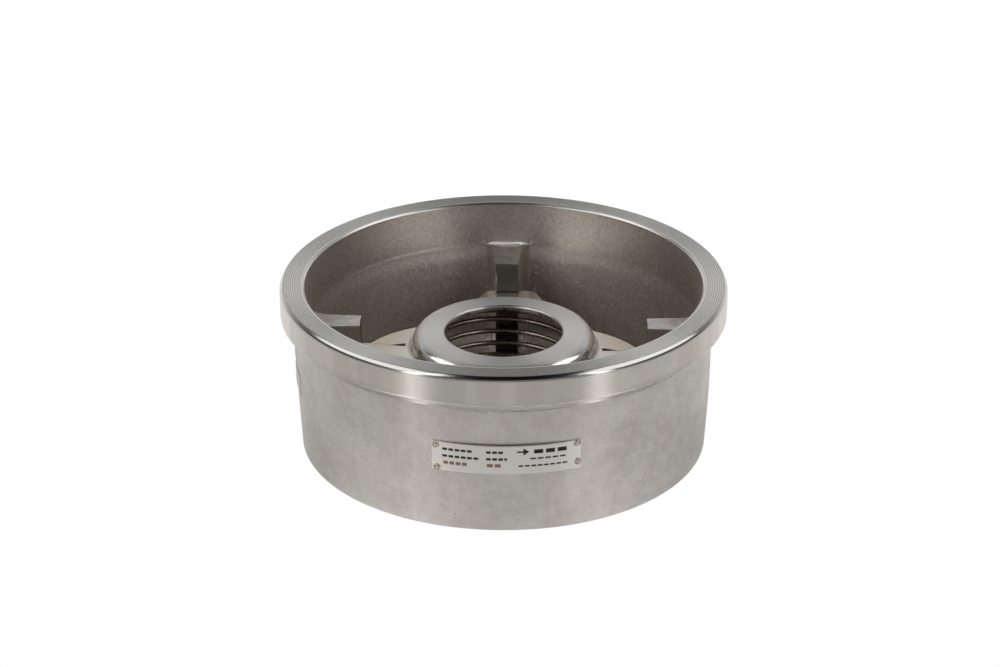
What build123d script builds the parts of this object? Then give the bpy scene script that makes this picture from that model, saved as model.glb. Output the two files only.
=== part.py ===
from build123d import *

import os
from math import cos, degrees, radians, sin

# Wafer check valve, DN 100: a spring-loaded disc valve that is clamped between two pipe flanges.
# Millimetres, +Z up. The origin is the centre of the inlet face, and the medium flows along +Z,
# through the seat bore, past the disc's edge and out of the open outlet face.

overrun = 1.0  # how far a cutter or a raw blank reaches past the surface it makes

# Body: outside
face_to_face = 60.0
rim_radius = 78.0
rim_depth = 10.5
rim_chamfer = 1.07
rim_edge = 0.35
barrel_top_radius = 73.0
barrel_crown_radius = 72.75
barrel_crown_height = 21.0
barrel_crown_curve = 400.0
barrel_foot_radius = 71.6
foot_edge = 0.8
root_fillet = 0.8

# Body: outlet chamber, turned at the mouth and as cast below
mouth_radius = 69.35
mouth_chamfer = 0.7
bore_step_radius = 68.85
bore_step_height = 43.5
core_top_radius = 68.6
core_floor_radius = 66.2
core_floor_corner = 7.0
core_offset = (0.12, -0.14)
floor_height = 4.2

# Body: outlet gasket face, with concentric turned grooves
groove_count = 8
groove_pitch = 0.78
groove_first_radius = 71.1
groove_depth = 0.12
groove_half_width = 0.16

# Body: inlet and metal seat
inlet_radius = 50.0
seat_bore_radius = 45.0
seat_cone_height = 3.0
seat_cone_fillet = 1.0
seat_land_height = 4.9
seat_land_radius = 49.4
seat_land_taper = 0.4
seat_land_edge = 0.2

# Body: four guide ribs, a quarter turn apart
rib_count = 4
rib_face_radius = 50.5
rib_half_width = 4.2
rib_top = 43.5
rib_flare_start = (65.0, 5.25)
rib_flare_end = (70.0, 9.6)
rib_flare_fillet = 4.0
rib_edge = 0.25
rib_top_fillet = 1.5
rib_root_rise = 1.9
rib_root_inner_radius = 68.2
rib_root_outer_radius = 69.2
rib_outer_radius = 71.0

# Body: raised casting marks, a flow arrow over a blank pad, wrapped on the barrel
mark_azimuth = 186.4
mark_height = 0.45
arrow_foot = 33.5
arrow_neck = 40.0
arrow_tip = 45.5
arrow_shaft_half = 1.7
arrow_head_half = 4.8
pad_low = 24.5
pad_high = 31.5
pad_half_width = 12.5
pad_corner = 1.0
skin_inset = 2.0
skin_bite = 0.5

# Spring retainer: pressed from sheet, a dome with four arms
sheet = 2.0
retainer_turn = -1.8
dome_hole_radius = 20.75
dome_hole_edge = 0.7
dome_hole_inner_edge = 0.3
dome_top = 40.3
dome_crown_drop = 0.35
dome_radius = 32.3
dome_shoulder = 4.2
foot_fillet = 2.0
plate_start_radius = 34.4
plate_top = 33.8
plate_drop = 1.6
plate_drop_length = 17.0
skirt_radius = 34.8
arm_tip_radius = 52.0
arm_blank_reach = 3.0
wide_arm_tip_half = 8.4
wide_arm_root_half = 14.7
finger_half = 3.4
finger_root = 47.2
finger_shoulder = (42.0, 9.2)
finger_shoulder_end = (31.0, 15.1)
slot_inner = 34.7
slot_inner_half = 1.25
slit_start = (40.6, 0.6)
slit_end = (47.8, 3.3)
slit_half = 0.08

# Retainer groove, turned in the ribs' inner faces
groove_clearance = 0.35
groove_mouth_edge = 0.1
groove_root_fillet = 0.2
retainer_groove_radius = 52.5
retainer_groove_bottom = 29.9

# Disc
disc_radius = 50.0
disc_thickness = 3.2
disc_edge = 0.4
disc_dish_radius = 43.0
disc_dish_slope = 6.0
disc_dish_depth = 0.8
disc_dish_fillet = 4.0
disc_dish_edge = 1.0
collar_outer_radius = 24.8
collar_inner_radius = 21.4
collar_rise = 2.2
collar_edge = 0.6
collar_root_fillet = 0.8
collar_flare = 2.5
collar_flare_fillet = 2.0

# Spring: closed coil at each end, open coils between
wire_radius = 0.9
coil_radius = 26.6
closed_turns = 1.0
open_turns = 5.1
seat_gap = 0.02
points_per_turn = 12
spring_start_angle = 275.0

# Nameplate and its four drive rivets
plate_azimuth = -87.9
plate_half_arc = 25.15
plate_low = 22.6
plate_high = 33.0
plate_thickness = 0.5
plate_stand_off = 0.4
plate_end_gap = 0.03
rivet_head_radius = 0.85
rivet_head_rise = 0.4
rivet_shank_radius = 0.5
rivet_depth = 3.0
rivet_fit = 0.02
rivet_head_gap = 0.03
rivet_end_gap = 0.1
rivet_places = {
    "top_left": (-23.7, 31.7),
    "top_right": (23.7, 32.0),
    "bottom_left": (-23.2, 23.6),
    "bottom_right": (24.0, 25.2),
}


def turned(*corners):
    """A solid of revolution about Z; each corner is (radius, height, rounding)."""
    points = [(radius, height) for radius, height, rounding in corners]
    roundings = [rounding for radius, height, rounding in corners]
    outline = FilletPolyline(*points, radius=roundings, close=True)
    return revolve(Plane.XZ * make_face(outline), Axis.Z)


def arm_height(radius):
    """Height of the retainer arms' upper face, which slopes down outwards."""
    return plate_top - plate_drop * (radius - plate_start_radius) / plate_drop_length


def dome_height(radius):
    """Height of the dome's upper face, which falls slightly from the hole to the shoulder."""
    share = (radius - dome_hole_radius) / (dome_radius - dome_hole_radius)
    return dome_top - share * dome_crown_drop


def barrel_radius(height):
    """Radius of the barrel's straight upper stretch at a height."""
    share = (height - barrel_crown_height) / (face_to_face - rim_depth - barrel_crown_height)
    return barrel_crown_radius + share * (barrel_top_radius - barrel_crown_radius)


def body_blank():
    rim_low = face_to_face - rim_depth
    return turned(
        (0, 0, 0),
        (barrel_foot_radius, 0, foot_edge),
        (barrel_crown_radius, barrel_crown_height, barrel_crown_curve),
        (barrel_top_radius, rim_low, root_fillet),
        (rim_radius, rim_low, rim_edge),
        (rim_radius, face_to_face - rim_chamfer, rim_edge),
        (rim_radius - rim_chamfer, face_to_face, rim_edge),
        (0, face_to_face, 0),
    )


def outlet_bore():
    return turned(
        (0, bore_step_height, 0),
        (bore_step_radius, bore_step_height, 0),
        (mouth_radius, face_to_face - mouth_chamfer, 0),
        (mouth_radius + mouth_chamfer, face_to_face, 0),
        (mouth_radius + mouth_chamfer, face_to_face + overrun, 0),
        (0, face_to_face + overrun, 0),
    )


def cast_cavity():
    cavity = turned(
        (0, floor_height, 0),
        (core_floor_radius, floor_height, core_floor_corner),
        (core_top_radius, bore_step_height, 0),
        (0, bore_step_height, 0),
    )
    return Pos(*core_offset) * cavity


def inlet_bore():
    return turned(
        (0, -overrun, 0),
        (inlet_radius + overrun, -overrun, 0),
        (inlet_radius, 0, 0),
        (seat_bore_radius, seat_cone_height, seat_cone_fillet),
        (seat_bore_radius, seat_land_height + overrun, 0),
        (0, seat_land_height + overrun, 0),
    )


def seat_land():
    return turned(
        (seat_bore_radius - overrun, seat_cone_height, 0),
        (seat_land_radius + seat_land_taper, seat_cone_height, 0),
        (seat_land_radius, seat_land_height, seat_land_edge),
        (seat_bore_radius - overrun, seat_land_height, 0),
    )


def rib_ring():
    """A full ring with the ribs' radial section: guide face, retainer groove, top and its fillet."""
    groove_top = arm_height(rib_face_radius) + groove_clearance
    return turned(
        (rib_face_radius, seat_cone_height, 0),
        (rib_outer_radius, seat_cone_height, 0),
        (rib_outer_radius, rib_top + rib_root_rise, 0),
        (rib_root_outer_radius, rib_top + rib_root_rise, 0),
        (rib_root_inner_radius, rib_top, rib_top_fillet),
        (rib_face_radius, rib_top, rib_edge),
        (rib_face_radius, groove_top, groove_mouth_edge),
        (retainer_groove_radius, groove_top, groove_root_fillet),
        (retainer_groove_radius, retainer_groove_bottom, groove_root_fillet),
        (rib_face_radius, retainer_groove_bottom, groove_mouth_edge),
    )


def rib_plan():
    """The rib seen from above: slightly tapered flanks that flare where they meet the wall."""
    side = [
        (rib_face_radius - overrun, rib_half_width),
        rib_flare_start,
        rib_flare_end,
        (rib_outer_radius + overrun, rib_flare_end[1]),
    ]
    other_side = [(x, -y) for x, y in reversed(side)]
    outline = FilletPolyline(
        *side,
        *other_side,
        radius=[0, rib_flare_fillet, 0, 0, 0, 0, rib_flare_fillet, 0],
        close=True,
    )
    return extrude(make_face(outline), face_to_face)


def guide_ribs():
    plans = [Rot(0, 0, 360 * turn / rib_count) * rib_plan() for turn in range(rib_count)]
    section = rib_ring()
    return [section & plan for plan in plans]


def gasket_grooves():
    grooves = []
    for ring in range(groove_count):
        radius = groove_first_radius + ring * groove_pitch
        grooves.append(
            turned(
                (radius - groove_half_width, face_to_face, 0),
                (radius, face_to_face - groove_depth, 0),
                (radius + groove_half_width, face_to_face, 0),
                (radius, face_to_face + groove_depth, 0),
            )
        )
    return grooves


def barrel_skin(inner_extra, outer_extra):
    """A shell that follows the barrel between the crown and the rim."""
    low = barrel_crown_height + skin_inset
    high = face_to_face - rim_depth - skin_inset
    return turned(
        (barrel_radius(low) + inner_extra, low, 0),
        (barrel_radius(low) + outer_extra, low, 0),
        (barrel_radius(high) + outer_extra, high, 0),
        (barrel_radius(high) + inner_extra, high, 0),
    )


def casting_marks():
    """Raised marks: their outlines are drawn on an upright plane and cut out of a barrel skin."""
    arrow = make_face(
        Polyline(
            (-arrow_shaft_half, arrow_foot),
            (arrow_shaft_half, arrow_foot),
            (arrow_shaft_half, arrow_neck),
            (arrow_head_half, arrow_neck),
            (0, arrow_tip),
            (-arrow_head_half, arrow_neck),
            (-arrow_shaft_half, arrow_neck),
            close=True,
        )
    )
    pad_middle = (pad_low + pad_high) / 2
    pad = Pos(0, pad_middle) * RectangleRounded(2 * pad_half_width, pad_high - pad_low, pad_corner)
    skin = barrel_skin(-skin_bite, mark_height)
    place = Rot(0, 0, mark_azimuth)
    marks = []
    for outline in (arrow, pad):
        stamp = extrude(Plane.YZ * outline, barrel_top_radius + overrun)
        marks.append(skin & (place * stamp))
    return marks


def valve_body():
    body = body_blank() - outlet_bore() - cast_cavity()
    body = body + seat_land()
    for rib in guide_ribs():
        body = body + rib
    for mark in casting_marks():
        body = body + mark
    body = body - inlet_bore()
    for groove in gasket_grooves():
        body = body - groove
    return body - rivet_holes()


def valve_disc():
    low = seat_land_height + seat_gap
    high = low + disc_thickness
    return turned(
        (0, low - disc_dish_depth, 0),
        (disc_dish_radius - disc_dish_slope, low - disc_dish_depth, disc_dish_fillet),
        (disc_dish_radius, low, disc_dish_edge),
        (disc_radius, low, disc_edge),
        (disc_radius, high, disc_edge),
        (collar_outer_radius, high, collar_root_fillet),
        (collar_outer_radius, high + collar_rise, collar_edge),
        (collar_inner_radius, high + collar_rise, collar_edge),
        (collar_inner_radius - collar_flare, high - disc_dish_depth, collar_flare_fillet),
        (0, high - disc_dish_depth, 0),
    )


def dome_section():
    """Dome of the retainer with a sloping plate around it, out past the arms' tips."""
    tip = arm_tip_radius + overrun
    return turned(
        (dome_hole_radius, dome_top - sheet, dome_hole_inner_edge),
        (dome_radius - sheet, dome_height(dome_radius) - sheet, dome_shoulder - sheet),
        (dome_radius - sheet, arm_height(dome_radius) - sheet, foot_fillet + sheet),
        (tip, arm_height(tip) - sheet, 0),
        (tip, arm_height(tip), 0),
        (dome_radius, arm_height(dome_radius), foot_fillet),
        (dome_radius, dome_height(dome_radius), dome_shoulder),
        (dome_hole_radius, dome_top, dome_hole_edge),
    )


def wide_arms_plan():
    """The two wide arms, tapered from root to tip and joined across the middle."""
    tip = arm_tip_radius + arm_blank_reach
    taper = (wide_arm_root_half - wide_arm_tip_half) / (arm_tip_radius - plate_start_radius)
    tip_half = wide_arm_tip_half - taper * (tip - arm_tip_radius)
    return make_face(
        Polyline(
            (-tip_half, tip),
            (tip_half, tip),
            (wide_arm_root_half, plate_start_radius),
            (wide_arm_root_half, -plate_start_radius),
            (tip_half, -tip),
            (-tip_half, -tip),
            (-wide_arm_root_half, -plate_start_radius),
            (-wide_arm_root_half, plate_start_radius),
            close=True,
        )
    )


def finger_arm_plan():
    """One narrow arm along +X: a finger with rounded shoulders that run in to the dome."""
    tip = arm_tip_radius + arm_blank_reach
    root = finger_shoulder_end[0]
    half = [
        Line((root, 0), (tip, 0)),
        Line((tip, 0), (tip, finger_half)),
        Line((tip, finger_half), (finger_root, finger_half)),
        ThreePointArc((finger_root, finger_half), finger_shoulder, finger_shoulder_end),
        Line(finger_shoulder_end, (root, 0)),
    ]
    upper = make_face(Wire(half))
    return upper + mirror(upper, Plane.XZ)


def finger_slots():
    """A tapered slot in each narrow arm that runs out as a slit and frees one side of the finger."""
    slot = make_face(
        Polyline(
            (slot_inner, -slot_inner_half),
            (slit_start[0], slit_start[1] - slit_half),
            (slit_end[0], slit_end[1] - slit_half),
            (slit_end[0], slit_end[1] + slit_half),
            (slit_start[0], slit_start[1] + slit_half),
            (slot_inner, slot_inner_half),
            close=True,
        )
    )
    right_slot = extrude(slot, dome_top)
    return right_slot, mirror(right_slot, Plane.YZ)


def spring_retainer():
    plan = Circle(skirt_radius) + wide_arms_plan()
    for turn in (0, 180):
        plan = plan + Rot(0, 0, turn) * finger_arm_plan()
    plan = plan & Circle(arm_tip_radius)
    retainer = dome_section() & extrude(plan, face_to_face)
    for slot in finger_slots():
        retainer = retainer - slot
    return Rot(0, 0, retainer_turn) * retainer


def spring_height(turns):
    """Height of the wire's centre after a number of turns, with a flat coil at each end."""
    low = seat_land_height + seat_gap + disc_thickness + wire_radius + seat_gap
    seat = dome_height(coil_radius + wire_radius) - sheet
    high = seat - wire_radius - seat_gap
    closed_rise = closed_turns * (2 * wire_radius + seat_gap)
    open_rise = high - low - 2 * closed_rise
    if turns < closed_turns:
        return low + closed_rise * turns / closed_turns
    if turns > closed_turns + open_turns:
        return high - closed_rise * (2 * closed_turns + open_turns - turns) / closed_turns
    return low + closed_rise + open_rise * (turns - closed_turns) / open_turns


def spring():
    total_turns = 2 * closed_turns + open_turns
    steps = round(total_turns * points_per_turn)
    points = []
    for step in range(steps + 1):
        turns = total_turns * step / steps
        angle = radians(spring_start_angle + 360 * turns)
        points.append((coil_radius * cos(angle), coil_radius * sin(angle), spring_height(turns)))
    path = Spline(*points)
    start = Plane(origin=path @ 0, z_dir=path % 0)
    return sweep(start * Circle(wire_radius), path=path, is_frenet=True)


def plate_arc():
    """Centre offset and radius of the nameplate's back face, bowed clear of the barrel."""
    seat_radius = barrel_radius(plate_high) + plate_end_gap
    half_angle = plate_half_arc / seat_radius
    half_chord = seat_radius * sin(half_angle)
    rise = seat_radius + plate_stand_off - seat_radius * cos(half_angle)
    radius = (half_chord**2 + rise**2) / (2 * rise)
    return seat_radius + plate_stand_off - radius, radius


def plate_face(arc):
    """Place on the plate's back face at a distance along it: x, y and the outward azimuth."""
    offset, radius = plate_arc()
    angle = arc / radius
    return offset + radius * cos(angle), radius * sin(angle), degrees(angle)


def nameplate():
    offset, radius = plate_arc()
    height = plate_high - plate_low
    angle = degrees(plate_half_arc / radius)
    ring = Circle(radius + plate_thickness) - Circle(radius)
    corner = radius * 2
    reach = (corner * cos(radians(angle)), corner * sin(radians(angle)))
    wedge = make_face(Polyline((0, 0), (reach[0], -reach[1]), (corner, 0), reach, close=True))
    plate = Pos(offset, 0, plate_low) * extrude(ring & wedge, height)
    for arc, level in rivet_places.values():
        hole = rivet_pin(arc, level, rivet_shank_radius + rivet_fit, plate_thickness + overrun)
        plate = plate - hole
    return Rot(0, 0, plate_azimuth) * plate


def rivet_pin(arc, level, radius, outside):
    """A pin across the plate, from inside the body's wall to a distance outside the plate's back."""
    x, y, azimuth = plate_face(arc)
    length = rivet_depth + outside
    pin = Pos(0, 0, -rivet_depth) * extrude(Circle(radius), length)
    return Pos(x, y, level) * Rot(0, 0, azimuth) * Rot(0, 90, 0) * pin


def rivet_holes():
    holes = Part()
    for arc, level in rivet_places.values():
        holes = holes + rivet_pin(arc, level, rivet_shank_radius + rivet_fit, overrun)
    return Rot(0, 0, plate_azimuth) * holes


def nameplate_rivet(arc, level):
    """A drive rivet: a low domed head over the plate and a plain shank in the wall."""
    x, y, azimuth = plate_face(arc)
    under = plate_thickness + rivet_head_gap
    dome = (rivet_head_radius**2 + rivet_head_rise**2) / (2 * rivet_head_rise)
    crown = Pos(0, 0, under + rivet_head_rise - dome) * Sphere(dome)
    head = crown & Pos(0, 0, under) * extrude(Circle(rivet_head_radius), rivet_head_rise + overrun)
    shank = Pos(0, 0, rivet_end_gap - rivet_depth) * extrude(Circle(rivet_shank_radius), rivet_depth + under)
    rivet = Pos(x, y, level) * Rot(0, 0, azimuth) * Rot(0, 90, 0) * (head + shank)
    return Rot(0, 0, plate_azimuth) * rivet


def write(name, shape):
    shape.label = name
    export_step(shape, os.path.join("parts", name + ".step"))


os.makedirs("parts", exist_ok=True)
write("valve_body", valve_body())
write("valve_disc", valve_disc())
write("spring_retainer", spring_retainer())
write("spring", spring())
write("nameplate", nameplate())
for place, (arc, level) in rivet_places.items():
    write("nameplate_rivet_" + place, nameplate_rivet(arc, level))
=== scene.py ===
from math import asin, atan2, cos, degrees, exp, hypot, pi, radians, sin, sqrt

import bpy
import numpy as np
from mathutils import Matrix, Vector, noise


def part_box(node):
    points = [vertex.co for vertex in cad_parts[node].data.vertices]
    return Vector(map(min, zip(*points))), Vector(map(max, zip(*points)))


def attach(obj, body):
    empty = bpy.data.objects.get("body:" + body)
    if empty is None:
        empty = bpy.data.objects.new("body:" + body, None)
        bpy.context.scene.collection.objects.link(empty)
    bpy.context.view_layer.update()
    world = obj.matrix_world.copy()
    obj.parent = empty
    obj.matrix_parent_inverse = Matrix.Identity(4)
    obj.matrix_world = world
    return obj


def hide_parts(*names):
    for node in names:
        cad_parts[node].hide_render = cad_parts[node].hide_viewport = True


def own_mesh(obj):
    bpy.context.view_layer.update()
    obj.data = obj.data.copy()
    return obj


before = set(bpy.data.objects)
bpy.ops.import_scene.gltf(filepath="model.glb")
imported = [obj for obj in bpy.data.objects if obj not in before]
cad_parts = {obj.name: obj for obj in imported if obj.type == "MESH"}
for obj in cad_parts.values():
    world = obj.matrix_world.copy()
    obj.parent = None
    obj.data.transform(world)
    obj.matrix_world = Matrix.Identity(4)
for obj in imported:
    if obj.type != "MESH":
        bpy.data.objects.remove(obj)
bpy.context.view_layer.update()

# Wafer check valve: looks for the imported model.
# The scene is in metres; the sizes here are in millimetres and the angles in degrees.
MM = 0.001

# ---------------------------------------------------------------- sizes taken from the frame
body_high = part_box("valve_body")[1]
spring_low, spring_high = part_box("spring")
plate_low, plate_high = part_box("nameplate")
RIM_R = body_high.x / MM
TOP_Z = body_high.z / MM
SPRING_LOW, SPRING_HIGH = spring_low.z / MM, spring_high.z / MM
PLATE_LOW, PLATE_HIGH = plate_low.z / MM, plate_high.z / MM

# ---------------------------------------------------------------- sizes of the casting
# Outside: rim, barrel and foot
RIM_DEPTH = 10.5                 # height of the rim
RIM_BREAK = 1.07                 # chamfer from the rim's side to the outlet face
RIM_EDGE = 0.25                  # round of the rim's low edge
RIM_EDGE_CLEAR = 0.4             # where the flat underside stops, inside the side
RIM_LIP = 0.10                   # hollow over the low edge, which leaves a lip
RIM_LIP_RISE = 0.55              # height of the hollow over the underside
RIM_LIP_END = 3.0                # height over the underside where it has run out
RIM_CORNER_RUN = 1.0             # straight stretch beside the chamfer
BARREL_TOP_R = 73.0
BARREL_MID_R = 72.75
BARREL_MID_Z = 21.0              # the barrel's two stretches meet here
BARREL_FOOT_R = 71.6
BARREL_BLEND = 10.0
BARREL_DIP = 0.09                # shallow hollow where they meet
BARREL_DIP_REACH = 7.0
RELIEF_Z = 45.3                  # tool relief under the rim
RELIEF_DEEP = 0.15
RELIEF_STEP = 0.3
ROOT_FILLET = 0.8
FOOT_EDGE = 0.8
FOOT_CLEAR = 0.6                 # first row of the barrel over the foot's edge

# Outlet face: a chamfer with a soft low edge and a crisp high one, and fine turned grooves
CHAMFER_SOFT_EDGE = 0.7
CHAMFER_CRISP_EDGE = 0.12
GROOVES = 8
GROOVE_R = 71.1
GROOVE_PITCH = 0.78
GROOVE_DEEP = 0.13
GROOVE_HALF = 0.22

# Inside: turned mouth, cast chamber, inlet and seat
MOUTH_R = 69.35
MOUTH_BREAK = 0.7                # chamfer into the mouth
MOUTH_EDGE_ROUND = 0.15
MOUTH_EDGE_CLEAR = 0.2
BORE_CLEAR = 0.5                 # first row of the bore under that chamfer
BORE_STEP_R = 68.85
BORE_STEP_Z = 43.5               # the turned bore ends and the cast wall starts
CORE_TOP_R = 68.6
CORE_FLOOR_R = 66.2
CORE_CORNER = 7.0                # round between the wall and the floor
CORE_SHIFT = (0.12, -0.14)       # the sand core sat this far off centre
FLOOR_Z = 4.2
FLOOR_PAST_RIB = 0.3             # the floor ends this far inside the ribs' faces
INLET_R = 50.0
INLET_EDGE = (0.3, 0.25)
SEAT_R = 45.0
SEAT_CONE_Z = 3.0                # the seat opens into the inlet below this
SEAT_CONE_START = 0.6
SEAT_ROUND = 0.5
LAND_Z = 4.9
LAND_R = 49.4
LAND_EDGE = 0.3
LAND_OUTER_EDGE = 0.2
LAND_TAPER = 0.05
LAND_ROOT = (0.4, 0.02)

# Guide ribs, with the groove that holds the retainer
RIB_R = 50.5
RIB_HALF = 4.2
RIB_TOP = 43.5
RIB_ROOT = (65.0, 5.25)          # the flank's line turns into the flare here
RIB_FLARE = (70.0, 9.6)          # point that the flare heads for
RIB_FLARE_START = 2.6            # the turn starts this far before the root
RIB_FLARE_REACH = 0.62           # share of the way to that point
RIB_FLARE_INSET = 0.4
RIB_TOP_FILLET = 1.9
RIB_TOP_SHARES = (0.012, 0.025, 0.05, 0.09, 0.15, 0.5, 0.985)  # rows from the wall to the outline
RIB_ROOT_SHARE = 0.1             # up to here a row belongs to the rough root
RIB_TOP_EDGE = 0.2               # break between the top and the flanks
RIB_SIDE_START = 0.5             # first row of the flanks under the top
RIB_FACE_MARGIN = 0.2
RIB_SPREAD_SOFT = 0.5            # keeps the flare's columns apart where the wall cuts it
RETAINER_GROOVE_R = 52.5
RETAINER_GROOVE_TOP = 32.63
RETAINER_GROOVE_LOW = 29.9
GROOVE_SIDE = 0.06

# Raised casting marks: a flow arrow over a blank pad
MARK_AZIMUTH = 186.4
MARK_RISE = 0.45
MARK_SOFT = 0.5
PAD_HALF = (12.5, 3.5)
PAD_Z = 28.0
ARROW_SHAFT_HALF = 1.7
ARROW_FOOT_Z = 33.5
ARROW_NECK_Z = 40.0
ARROW_NECK_LAP = 1.0
ARROW_TIP_Z = 45.5
ARROW_HEAD_SLOPE = 0.66
MARK_REACH = 30.0                # no marks further round than this

# As-cast skin: sand grain (size, depth), slow waves, and the arc where the bore's step shows most
GRAIN_OUTSIDE = (2.4, 0.03)
GRAIN_INSIDE = (2.0, 0.05)
WAVE = (16.0, 0.05)
GRAIN_SEED = 3.7
WAVE_SEED = 1.3
FOOT_FLAT_Z = 1.0                # no grain or waves below this height
STEP_SHARE = 0.2
STEP_ARC = (92, 115, 140, 165)
STEP_START = 0.1
STEP_TAPER = 6.0

# How finely the cavity is divided: rows down its wall, columns between two ribs
WALL_ROWS = 44
WALL_COLUMNS = 108

# ---------------------------------------------------------------- sizes of the fitted parts
# Closing spring
SPRING_R = 26.6
WIRE_R = 0.9
CLOSED_TURNS = 1.0
OPEN_TURNS = 5.1
CLOSED_GAP = 0.02                # between the wires of the closed ends
SPRING_START = 275.0
STEPS_PER_TURN = 96
WIRE_SIDES = 20

# Nameplate; its rivets and marks are placed by arc length and height
PLATE_AZIMUTH = -87.9
PLATE_HALF_ARC = 25.15
PLATE_THICK = 0.5
PLATE_STAND_OFF = 0.4            # gap behind the plate's middle, as it bows
PLATE_SEAT_R = 72.885            # the plate's ends rest on this radius
PLATE_EDGE_DROP = 0.12
PLATE_EDGE_REACH = 0.25
PLATE_COLUMNS = 260
PLATE_ROWS = 72
ENGRAVED = 0.05
INK_SOFT = 0.1
BLOCK_SHARE = 0.78               # of the pitch
BLOCK_SOFT = 0.08
STAIN_INNER, STAIN_OUTER = 1.05, 1.3
STAIN_RAGGED = (1.1, 0.25)       # size and depth of the stains' uneven edge
RIVET_PLACES = ((-23.7, 31.7), (23.7, 32.0), (-23.2, 23.6), (24.0, 25.2))

# Rows of equal blocks on the plate: left and right end, foot above the plate's, height and pitch
BLACK_ROWS = (
    (-21.4, -11.0, 7.6, 0.9, 2.08),
    (-21.4, -8.8, 5.1, 0.9, 2.08),
    (-6.8, -1.08, 7.6, 0.9, 2.0),
    (-6.8, 0.13, 5.1, 0.9, 2.0),
    (8.8, 20.6, 7.4, 1.5, 3.95),
    (7.6, 19.9, 5.3, 0.6, 2.5),
    (3.8, 20.4, 2.7, 0.6, 2.1),
)
BROWN_ROWS = (
    (-21.1, -12.8, 2.5, 1.2, 2.1),
    (-6.6, -1.4, 2.6, 1.2, 2.6),
)
PLATE_ARROW_SHAFT = (3.4, 5.8, 7.9, 8.5)
PLATE_ARROW_NECK = 5.5
PLATE_ARROW_TIP = (7.4, 8.2)
PLATE_ARROW_SLOPE = 0.7

# ---------------------------------------------------------------- camera and studio
CAMERA_DISTANCE = 931.7
CAMERA_ELEVATION = 25.32
CAMERA_TURN = 1.4
CAMERA_AIM_Z = 39.07
CAMERA_SIDE = -1.27
LENS = 95.3                      # focal length, for the width of sensor below
SENSOR = 36.0
PANEL_AIM_Z = 50.0               # height that the softboxes face
FLOOR_HALF = 3000.0
FLOOR_DROP = 0.02
FLOOR_SHEEN = 0.28

# ---------------------------------------------------------------- noise scales, per metre
CLOUDS = 24
BLOTCHES = 55
MOTTLE = 260
GRAIN = 900
FINE_GRAIN = 2200


# Zones of the casting: every face carries one of these numbers for the material to read.
# This zone is the ribs' tops, which are milled, and the rim's rounded low edge, which takes their paler
# tone as a painted highlight.
CAST_OUTSIDE, RIM, GASKET_FACE, BORE, CAST_INSIDE, MILLED_AND_LIT_EDGE, GUIDE_FACE, CHAMFER = range(8)
SEAT, MOUTH_EDGE, RIB_TOP_ROOT, GASKET_GROOVE, RIB_FLANK = range(8, 13)


# ---------------------------------------------------------------- mesh helpers
def mesh_object(name, points, faces, sharp=35.0, smooth=True):
    """A mesh object from points in millimetres."""
    mesh = bpy.data.meshes.new(name)
    mesh.from_pydata([tuple(p * MM) for p in points], [], faces)
    mesh.validate()
    if smooth:
        mesh.shade_smooth()
        mesh.set_sharp_from_angle(angle=radians(sharp))
    piece = bpy.data.objects.new(name, mesh)
    bpy.context.scene.collection.objects.link(piece)
    return piece


def ring_faces(rows, columns):
    """Quads between rows of points that run round a ring; the last row meets the first."""
    faces = []
    for i in range(rows):
        low = i * columns
        high = ((i + 1) % rows) * columns
        for j in range(columns):
            k = (j + 1) % columns
            faces.append((low + j, low + k, high + k, high + j))
    return faces


def store(piece, name, values, domain="POINT"):
    """Keeps one number per vertex or face for the materials to read."""
    layer = piece.data.attributes.new(name, "FLOAT", domain)
    layer.data.foreach_set("value", np.asarray(values, np.float32))


def smoothstep(low, high, x):
    t = np.clip((x - low) / (high - low), 0, 1)
    return t * t * (3 - 2 * t)


def fractal(points, size, octaves=3, seed=0.0):
    """Smooth noise between about -1 and 1 at points in mm, with features of a given size."""
    shift = Vector((seed, 2 * seed, -seed))
    out = np.empty(len(points))
    for i, p in enumerate(points):
        out[i] = noise.fractal(Vector(p) / size + shift, 0.8, 2.0, octaves)
    return out


# ---------------------------------------------------------------- the casting
def arc_points(centre, radius, start, end, steps):
    """Points of an arc in the radius-height plane, angles in degrees."""
    angles = [radians(start + (end - start) * i / steps) for i in range(steps + 1)]
    return [(centre[0] + radius * cos(a), centre[1] + radius * sin(a)) for a in angles]


def barrel_radius(z):
    """Outside radius of the barrel: two straight stretches that blend into a gentle crown."""
    blend = float(smoothstep(BARREL_MID_Z - BARREL_BLEND, BARREL_MID_Z + BARREL_BLEND, z))
    lower = BARREL_FOOT_R + (BARREL_MID_R - BARREL_FOOT_R) * z / BARREL_MID_Z
    span = TOP_Z - RIM_DEPTH - BARREL_MID_Z
    upper = BARREL_MID_R + (BARREL_TOP_R - BARREL_MID_R) * (z - BARREL_MID_Z) / span
    dip = BARREL_DIP * exp(-(((z - BARREL_MID_Z) / BARREL_DIP_REACH) ** 2))
    return lower * (1 - blend) + upper * blend - dip


def barrel_rows():
    """From the inlet's edge, under the foot and up the barrel to the relief under the rim."""
    foot_r = barrel_radius(FOOT_EDGE)
    rows = [(r, 0.0, CAST_OUTSIDE) for r in np.linspace(INLET_R, foot_r - FOOT_EDGE, 12)]
    edge = arc_points((foot_r - FOOT_EDGE, FOOT_EDGE), FOOT_EDGE, -90, 0, 5)[1:]
    rows += [(r, z, CAST_OUTSIDE) for r, z in edge]
    heights = np.linspace(FOOT_EDGE + FOOT_CLEAR, RELIEF_Z, 62)
    return rows + [(barrel_radius(z), z, CAST_OUTSIDE) for z in heights]


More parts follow.
